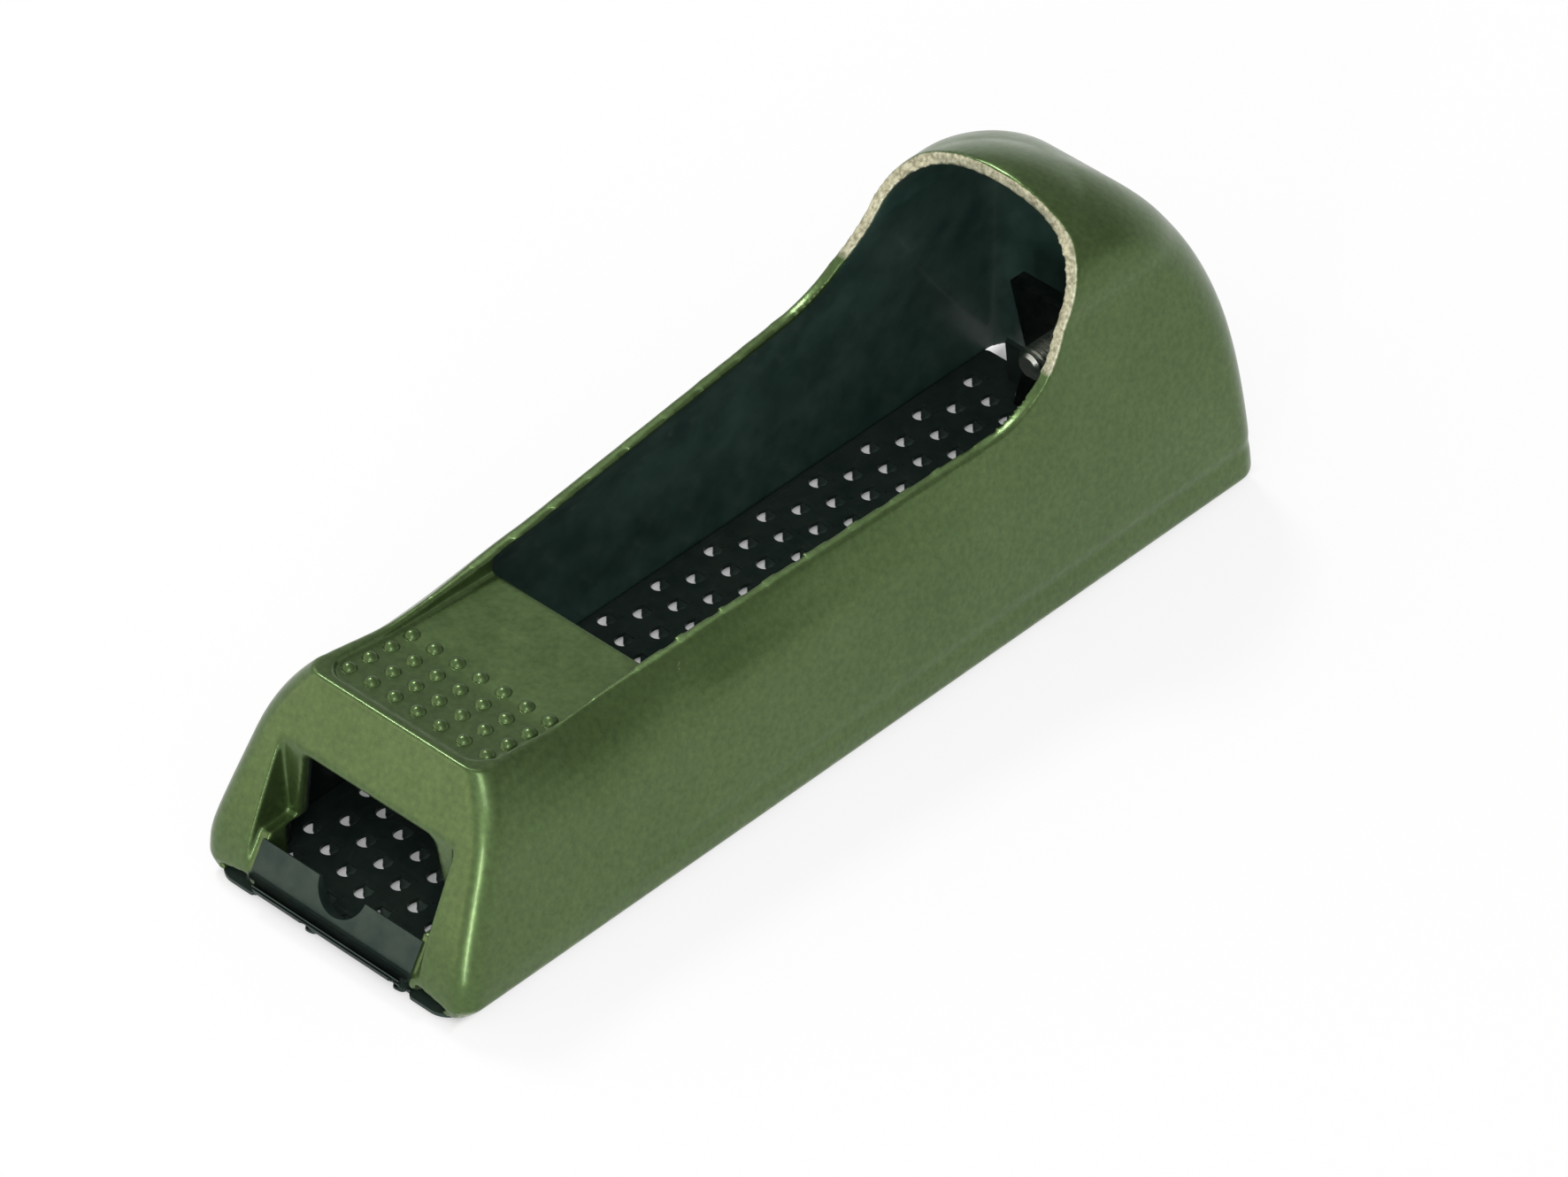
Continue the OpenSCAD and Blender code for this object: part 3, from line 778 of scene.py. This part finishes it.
def blade():
    """The rasp blade: a punched sheet with a bent-up tab at each end."""
    places = tooth_places() + BEND_TEETH
    sheet = prism(blade_plan(), "Z", -BLADE_T, 0, "punched_blade")
    combine(sheet, [blade_end(True), blade_end(False)], "UNION")
    combine(sheet, [throats(places)])
    return combine(sheet, [tooth_tongues(places)], "UNION")


def eased(obj, angle, width):
    """Bevels every edge sharper than an angle."""
    bm = bmesh.new()
    bm.from_mesh(obj.data)
    drop(obj)
    sharp = math.radians(angle)
    edges = [e for e in bm.edges if len(e.link_faces) == 2 and e.calc_face_angle() > sharp]
    bmesh.ops.bevel(bm, geom=edges, affect="EDGES", offset=width, segments=2, profile=0.5,
                    material=-1)
    return finish_mesh(bm, "eased")


def turned(profile, name):
    """A round piece from its profile (radius, station), turned on the screw's axis."""
    bm = bmesh.new()
    verts = [bm.verts.new((r, y, SCREW_Z)) for r, y in profile]
    edges = [bm.edges.new(pair) for pair in zip(verts, verts[1:])]
    bmesh.ops.spin(bm, geom=verts + edges, cent=(0, 0, SCREW_Z), axis=(0, 1, 0), angle=2 * math.pi,
                   steps=64, use_merge=True)
    bmesh.ops.remove_doubles(bm, verts=bm.verts, dist=1e-4)
    return finish_mesh(bm, name)


def thread_coil(y0, y1, root, crest, pitch):
    """The ridge of a thread, wound from one station to another."""
    run = y1 - y0 - 0.6 * pitch
    turns = run / pitch
    count = round(20 * turns)
    foot = root - 0.2
    ridge = ((foot, 0), (crest, 0.22), (crest, 0.34), (foot, 0.56))
    bm = bmesh.new()
    verts = [bm.verts.new((r, y0 + share * pitch, SCREW_Z)) for r, share in ridge]
    face = bmesh.ops.contextual_create(bm, geom=verts)["faces"]
    bmesh.ops.spin(bm, geom=face + verts + list(face[0].edges), cent=(0, 0, SCREW_Z),
                   axis=(0, 1, 0), angle=2 * math.pi * turns, steps=count,
                   dvec=(0, run / count, 0))
    bmesh.ops.remove_doubles(bm, verts=bm.verts, dist=1e-5)
    bmesh.ops.holes_fill(bm, edges=[e for e in bm.edges if e.is_boundary], sides=0)
    return finish_mesh(bm, "thread")


# Stations of the tension gear, worked out from the casting and the blade
WASHER_FRONT = BODY_L - SEAT[1] + STACK_GAP
HEAD_REAR = WASHER_FRONT + WASHER[1] + STACK_GAP + HEAD[1]
BOSS_FRONT = BODY_L - WALL_REAR - BOSS[1]
HOOK_PLATE = HOOKED_NOSE[-1].x + HOOK_PLAY
HOOK_FRONT = REAR_BEND - HOOK_PLATE - HOOK_T


def screw():
    """The tension screw: a slotted cheese head, plain neck and cut thread."""
    head_r, head_l = HEAD
    head_y = HEAD_REAR - head_l
    front = HOOK_FRONT - SCREW_PAST_HOOK
    core = SCREW_R - THREAD_DEPTH
    shank_y = BOSS_FRONT - 1.4
    profile = [(0, front), (core - 0.5, front), (core, front + 0.5), (core, shank_y),
               (SCREW_R - 0.02, shank_y + 0.4), (SCREW_R - 0.02, head_y + 0.02),
               (head_r - 0.2, head_y + 0.02), (head_r - 0.02, head_y + 0.2),
               (head_r - 0.02, HEAD_REAR - 0.5), (head_r - 0.2, HEAD_REAR - 0.16),
               (head_r - 0.6, HEAD_REAR - 0.02), (0, HEAD_REAR - 0.02)]
    body = turned(profile, "screw")
    half, depth = HEAD_SLOT
    slot = prism([(-FAR, HEAD_REAR - depth), (FAR, HEAD_REAR - depth), (FAR, HEAD_REAR + 5),
                  (-FAR, HEAD_REAR + 5)], "Z", SCREW_Z - half, SCREW_Z + half, "driver_slot")
    combine(body, [slot])
    coil = thread_coil(front + 0.4, shank_y - 0.2, core, SCREW_R, THREAD_PITCH)
    return join([body, coil], "threaded_screw")


def washer():
    bore = SCREW_R + BORE_PLAY
    rim, thick = WASHER
    y0, y1 = WASHER_FRONT, WASHER_FRONT + thick
    e = 0.12
    return turned([(bore, y0 + e), (bore + e, y0), (rim - 0.25, y0), (rim, y0 + 0.25),
                   (rim, y1 - 0.2), (rim - 0.2, y1), (bore + e, y1), (bore, y1 - e),
                   (bore, y0 + e)], "flat_washer")


def ring():
    rim, thick = RING
    y1 = BOSS_FRONT - STACK_GAP
    y0 = y1 - thick
    e = 0.14
    return turned([(SCREW_R, y1), (rim - e, y1), (rim, y1 - e), (rim, y0 + e), (rim - e, y0),
                   (SCREW_R + 0.3, y0), (SCREW_R, y0 + 0.1), (SCREW_R, y1)], "push_ring")


def hook():
    """The plate that pulls the blade's rear tab, with its folded nose and screw bore."""
    low = TAB_PLAY + BLADE_T - BEND_R
    top = SCREW_Z + HOOK_ABOVE - BEND_Z
    side = HOOKED_NOSE + [(HOOK_PLATE, HOOKED_NOSE[-1].y), (HOOK_PLATE, top),
                          (HOOK_PLATE + HOOK_T, top), (HOOK_PLATE + HOOK_T, low)]
    plate = prism([(REAR_BEND - a, BEND_Z + b) for a, b in side], "X", -HOOK_HALF, HOOK_HALF)
    plate = eased(plate, 50, HOOK_EASE)
    combine(plate, [rod(SCREW_R + BORE_PLAY, REAR_BEND - 20, REAR_BEND + 20)])
    plate.name = "hook_plate"
    return plate


def into_frame(obj, body, node, material, smooth_angle):
    """Moves a finished piece into the frame and hands it over; angle 0 is smooth all over."""
    obj.data.transform(TO_FRAME)
    obj.data.materials.clear()
    obj.data.materials.append(material)
    obj.data.shade_smooth()
    if smooth_angle:
        obj.data.set_sharp_from_angle(angle=math.radians(smooth_angle))
    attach(obj, body)
    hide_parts(node)


def shader(name):
    material = bpy.data.materials.new(name)
    material.use_nodes = True
    return material, material.node_tree.nodes, material.node_tree.links


def noise(nodes, links, scale, detail):
    where = nodes.new("ShaderNodeTexCoord")
    tex = nodes.new("ShaderNodeTexNoise")
    tex.inputs["Scale"].default_value = scale
    tex.inputs["Detail"].default_value = detail
    tex.inputs["Roughness"].default_value = 0.6
    links.new(where.outputs["Object"], tex.inputs["Vector"])
    return tex.outputs["Fac"]


def ramp(nodes, links, source, stops):
    node = nodes.new("ShaderNodeValToRGB")
    while len(node.color_ramp.elements) < len(stops):
        node.color_ramp.elements.new(0.5)
    for element, (at, value) in zip(node.color_ramp.elements, stops):
        element.position = at
        element.color = (*value, 1) if isinstance(value, tuple) else (value, value, value, 1)
    links.new(source, node.inputs["Fac"])
    return node.outputs["Color"]


def blend_colour(nodes, links, share, a, b, how="MIX"):
    node = nodes.new("ShaderNodeMix")
    node.data_type = "RGBA"
    node.blend_type = how
    for socket, value in ((node.inputs["Factor"], share), (node.inputs[6], a), (node.inputs[7], b)):
        if isinstance(value, bpy.types.NodeSocket):
            links.new(value, socket)
        elif isinstance(value, tuple):
            socket.default_value = (*value, 1)
        else:
            socket.default_value = value
    return node.outputs[2]


def maths(nodes, links, how, a, b):
    node = nodes.new("ShaderNodeMath")
    node.operation = how
    for socket, value in zip(node.inputs, (a, b)):
        if isinstance(value, bpy.types.NodeSocket):
            links.new(value, socket)
        else:
            socket.default_value = value
    return node.outputs[0]


def object_place(nodes, links):
    """The separate coordinates of a point on the piece."""
    where = nodes.new("ShaderNodeTexCoord")
    parts = nodes.new("ShaderNodeSeparateXYZ")
    links.new(where.outputs["Object"], parts.inputs["Vector"])
    return parts.outputs


def mark(nodes, name):
    """A value that the mesh stores at its points."""
    node = nodes.new("ShaderNodeAttribute")
    node.attribute_name = name
    return node.outputs["Fac"]


def bump(nodes, links, height, strength, depth):
    node = nodes.new("ShaderNodeBump")
    node.inputs["Strength"].default_value = strength
    node.inputs["Distance"].default_value = depth
    links.new(height, node.inputs["Height"])
    return node.outputs["Normal"]


def smooth_range(nodes, links, source, low, high):
    node = nodes.new("ShaderNodeMapRange")
    node.interpolation_type = "SMOOTHSTEP"
    node.inputs["From Min"].default_value = low
    node.inputs["From Max"].default_value = high
    links.new(source, node.inputs["Value"])
    return node.outputs["Result"]


def crisp(nodes, links, source, width):
    """Turns a stored distance in millimetres into a mask with a clean edge at zero."""
    share = maths(nodes, links, "MULTIPLY_ADD", source, 1 / width)
    share.node.inputs[2].default_value = 0.5
    share.node.use_clamp = True
    return share


def painted_inside_shade(nodes, links):
    """Painted shade inside the shell: a dark mottled tone for the shade that falls within, painted
    nearly black under the finger rest, where it is deepest.
    """
    mottle = ramp(nodes, links, noise(nodes, links, 160, 5), [(0.35, 0.0), (0.7, 1.0)])
    dark = blend_colour(nodes, links, mottle, (0.018, 0.046, 0.038), (0.044, 0.088, 0.072))
    # Painted shade: nearly black towards the nose under the finger rest, lighter behind it
    shade_lifts_past_rest = smooth_range(nodes, links, object_place(nodes, links)["Y"], -0.052, -0.028)
    return blend_colour(nodes, links, shade_lifts_past_rest, (0.006, 0.012, 0.011), dark)


def enamel_wear(nodes, links):
    """Where the enamel is worn off: speckled along the foot, and at the chips."""
    speck = ramp(nodes, links, noise(nodes, links, 420, 3), [(0.54, 0.0), (0.60, 1.0)])
    foot = maths(nodes, links, "MULTIPLY", mark(nodes, "foot"), speck)
    chip_edge = maths(nodes, links, "MULTIPLY", mark(nodes, "chip"), noise(nodes, links, 900, 3))
    chip = ramp(nodes, links, chip_edge, [(0.30, 0.0), (0.38, 1.0)])
    return maths(nodes, links, "MAXIMUM", foot, chip)


def olive_enamel():
    """Worn olive bronze enamel, bare on the arch's cut face, with painted shade inside."""
    material, nodes, links = shader("olive_enamel")
    paint = nodes["Principled BSDF"]
    broad = noise(nodes, links, 45, 3)
    fine = noise(nodes, links, 1100, 4)
    olive = ramp(nodes, links, broad, [(0.3, (0.068, 0.116, 0.034)), (0.7, (0.083, 0.136, 0.044))])
    flakes = ramp(nodes, links, fine, [(0.3, 0.8), (0.7, 1.15)])
    colour = blend_colour(nodes, links, 1.0, olive, flakes, "MULTIPLY")
    # Painted shade: the inside of the shell is coloured dark for the shade that falls there
    inside = crisp(nodes, links, mark(nodes, "inside"), 0.3)
    colour = blend_colour(nodes, links, inside, colour, painted_inside_shade(nodes, links))
    grain = ramp(nodes, links, noise(nodes, links, 1500, 4), [(0.35, 0.0), (0.65, 1.0)])
    bare = blend_colour(nodes, links, grain, (0.23, 0.225, 0.145), (0.56, 0.56, 0.41))
    cut = crisp(nodes, links, mark(nodes, "cut_face"), 0.2)
    colour = blend_colour(nodes, links, cut, colour, bare)
    colour = blend_colour(nodes, links, enamel_wear(nodes, links), colour, (0.42, 0.44, 0.33))
    links.new(colour, paint.inputs["Base Color"])
    # The painted inside shade is matt and has no metal, so it takes no highlights
    outside = maths(nodes, links, "SUBTRACT", 1.0, inside)
    links.new(maths(nodes, links, "MULTIPLY", outside, 0.72), paint.inputs["Metallic"])
    rough = ramp(nodes, links, noise(nodes, links, 200, 4), [(0.3, 0.27), (0.7, 0.35)])
    rough = blend_colour(nodes, links, cut, rough, (0.5, 0.5, 0.5))
    rough = blend_colour(nodes, links, inside, rough, (0.42, 0.42, 0.42))
    links.new(rough, paint.inputs["Roughness"])
    paint.inputs["Coat Weight"].default_value = 0.15
    paint.inputs["Coat Roughness"].default_value = 0.09
    links.new(bump(nodes, links, fine, 0.10, 0.0001), paint.inputs["Normal"])
    return material


def blackened_steel():
    """The blade's hardened, oil-blacked sheet."""
    material, nodes, links = shader("blackened_steel")
    steel = nodes["Principled BSDF"]
    tone = ramp(nodes, links, noise(nodes, links, 300, 4),
                [(0.3, (0.021, 0.036, 0.031)), (0.7, (0.037, 0.054, 0.044))])
    links.new(tone, steel.inputs["Base Color"])
    steel.inputs["Metallic"].default_value = 0.35
    steel.inputs["Specular IOR Level"].default_value = 0.14
    rough = ramp(nodes, links, noise(nodes, links, 500, 3), [(0.3, 0.32), (0.7, 0.44)])
    links.new(rough, steel.inputs["Roughness"])
    grain = bump(nodes, links, noise(nodes, links, 1200, 3), 0.12, 0.00005)
    links.new(grain, steel.inputs["Normal"])
    return material


def plain_steel(name, dark, light, roughness):
    """A steel finish between two tones, from its least roughness upwards."""
    material, nodes, links = shader(name)
    steel = nodes["Principled BSDF"]
    tone = ramp(nodes, links, noise(nodes, links, 700, 4), [(0.3, dark), (0.7, light)])
    links.new(tone, steel.inputs["Base Color"])
    steel.inputs["Metallic"].default_value = 1.0
    rough = ramp(nodes, links, noise(nodes, links, 400, 3), [(0.3, roughness), (0.7, roughness + 0.12)])
    links.new(rough, steel.inputs["Roughness"])
    grain = bump(nodes, links, noise(nodes, links, 1500, 3), 0.15, 0.00004)
    links.new(grain, steel.inputs["Normal"])
    return material


def floor_glow_and_painted_shadow(nodes, links):
    """How much of the floor's white is its own: little where the plane stands on it, which paints a
    shadow on the floor under it that shows through the teeth.
    """
    place = object_place(nodes, links)
    across = maths(nodes, links, "ABSOLUTE", place["X"], 0.0)
    along = maths(nodes, links, "ABSOLUTE", place["Y"], 0.0)
    across = maths(nodes, links, "DIVIDE", across, 0.0225)
    along = maths(nodes, links, "DIVIDE", along, 0.0765)
    clear = smooth_range(nodes, links, maths(nodes, links, "MAXIMUM", across, along), 0.96, 1.06)
    return maths(nodes, links, "ADD", maths(nodes, links, "MULTIPLY", clear, 0.65), 0.17)


def floor():
    """The plain pale floor, white to the camera and in reflections, with a painted shadow under the
    plane.
    """
    bm = bmesh.new()
    bmesh.ops.create_grid(bm, x_segments=1, y_segments=1, size=4)
    obj = finish_mesh(bm, "floor")
    material, nodes, links = shader("pale_floor")
    base = nodes["Principled BSDF"]
    base.inputs["Base Color"].default_value = (0.86, 0.86, 0.86, 1)
    base.inputs["Roughness"].default_value = 0.9
    base.inputs["Specular IOR Level"].default_value = 0.1
    glow = nodes.new("ShaderNodeEmission")
    glow.inputs["Color"].default_value = (1, 1, 1, 1)
    path = nodes.new("ShaderNodeLightPath")
    seen = maths(nodes, links, "MAXIMUM", path.outputs["Is Camera Ray"], path.outputs["Is Glossy Ray"])
    # The glow is cut back under the plane: a painted shadow on the floor
    share = maths(nodes, links, "MULTIPLY", seen, floor_glow_and_painted_shadow(nodes, links))
    both = nodes.new("ShaderNodeMixShader")
    links.new(share, both.inputs["Fac"])
    links.new(base.outputs["BSDF"], both.inputs[1])
    links.new(glow.outputs["Emission"], both.inputs[2])
    links.new(both.outputs["Shader"], nodes["Material Output"].inputs["Surface"])
    obj.data.materials.append(material)


def lamp(name, place, size, brightness, tint=(1, 1, 1)):
    """A soft box turned to the object, by how bright its face is."""
    data = bpy.data.lights.new(name, "AREA")
    data.shape = "RECTANGLE"
    data.size, data.size_y = size
    data.energy = brightness * math.pi * size[0] * size[1]
    data.color = tint
    obj = bpy.data.objects.new(name, data)
    obj.location = place
    towards = Vector((0, 0, 0.02)) - Vector(place)
    obj.rotation_euler = towards.to_track_quat("-Z", "Y").to_euler()
    bpy.context.scene.collection.objects.link(obj)


def studio():
    """White paper round the horizon, a dim room behind and above, and four soft boxes."""
    world = bpy.data.worlds.new("studio")
    world.use_nodes = True
    nodes, links = world.node_tree.nodes, world.node_tree.links
    sky = nodes["Background"]
    sky.inputs["Color"].default_value = (1, 1, 1, 1)
    where = nodes.new("ShaderNodeTexCoord")
    parts = nodes.new("ShaderNodeSeparateXYZ")
    links.new(where.outputs["Generated"], parts.inputs["Vector"])
    high = smooth_range(nodes, links, parts.outputs["Z"], 0.12, 0.45)
    behind = smooth_range(nodes, links, parts.outputs["Y"], -0.3, 0.5)
    dim = maths(nodes, links, "MULTIPLY", maths(nodes, links, "MULTIPLY", high, behind), 0.55)
    room = maths(nodes, links, "SUBTRACT", 0.85, dim)
    path = nodes.new("ShaderNodeLightPath")
    strength = maths(nodes, links, "MAXIMUM", path.outputs["Is Camera Ray"], room)
    links.new(strength, sky.inputs["Strength"])
    bpy.context.scene.world = world
    lamp("front_box", (-0.78, -1.15, 0.42), (1.3, 0.8), 1.05, (1.0, 0.82, 0.66))
    lamp("key", (-0.9, 0.33, 1.32), (0.3, 0.3), 34.0)
    lamp("high_strip", (0.79, -0.76, 1.32), (0.45, 0.7), 6.0)
    lamp("corner_strip", (0.64, -1.14, 0.32), (0.16, 0.5), 19.0)


def camera():
    data = bpy.data.cameras.new("camera")
    data.sensor_width = SENSOR_WIDTH
    data.lens = FOCAL_PIXELS / PHOTO_WIDTH * SENSOR_WIDTH
    data.clip_start = 0.05
    obj = bpy.data.objects.new("camera", data)
    turn = Matrix((CAMERA_RIGHT, CAMERA_UP, CAMERA_BACK)).transposed().to_4x4()
    obj.matrix_world = Matrix.Translation(CAMERA_PLACE) @ turn
    bpy.context.scene.collection.objects.link(obj)
    bpy.context.scene.camera = obj


bpy.context.scene.view_settings.view_transform = "Standard"
camera()
studio()
floor()

cast = casting()
mark_casting(cast)
into_frame(cast, "casting", "body_casting", olive_enamel(), 0)
into_frame(blade(), "blade", "rasp_blade", blackened_steel(), 40)
zinc = plain_steel("zinc_plate", (0.42, 0.44, 0.40), (0.58, 0.60, 0.54), 0.25)
oiled = plain_steel("oiled_steel", (0.035, 0.045, 0.04), (0.07, 0.08, 0.07), 0.35)
spring = plain_steel("spring_steel", (0.06, 0.06, 0.06), (0.1, 0.1, 0.1), 0.35)
into_frame(hook(), "hook", "tension_hook", oiled, 35)
into_frame(screw(), "screw", "tension_screw", zinc, 30)
into_frame(washer(), "screw", "screw_washer", zinc, 30)
into_frame(ring(), "screw", "retaining_ring", spring, 30)
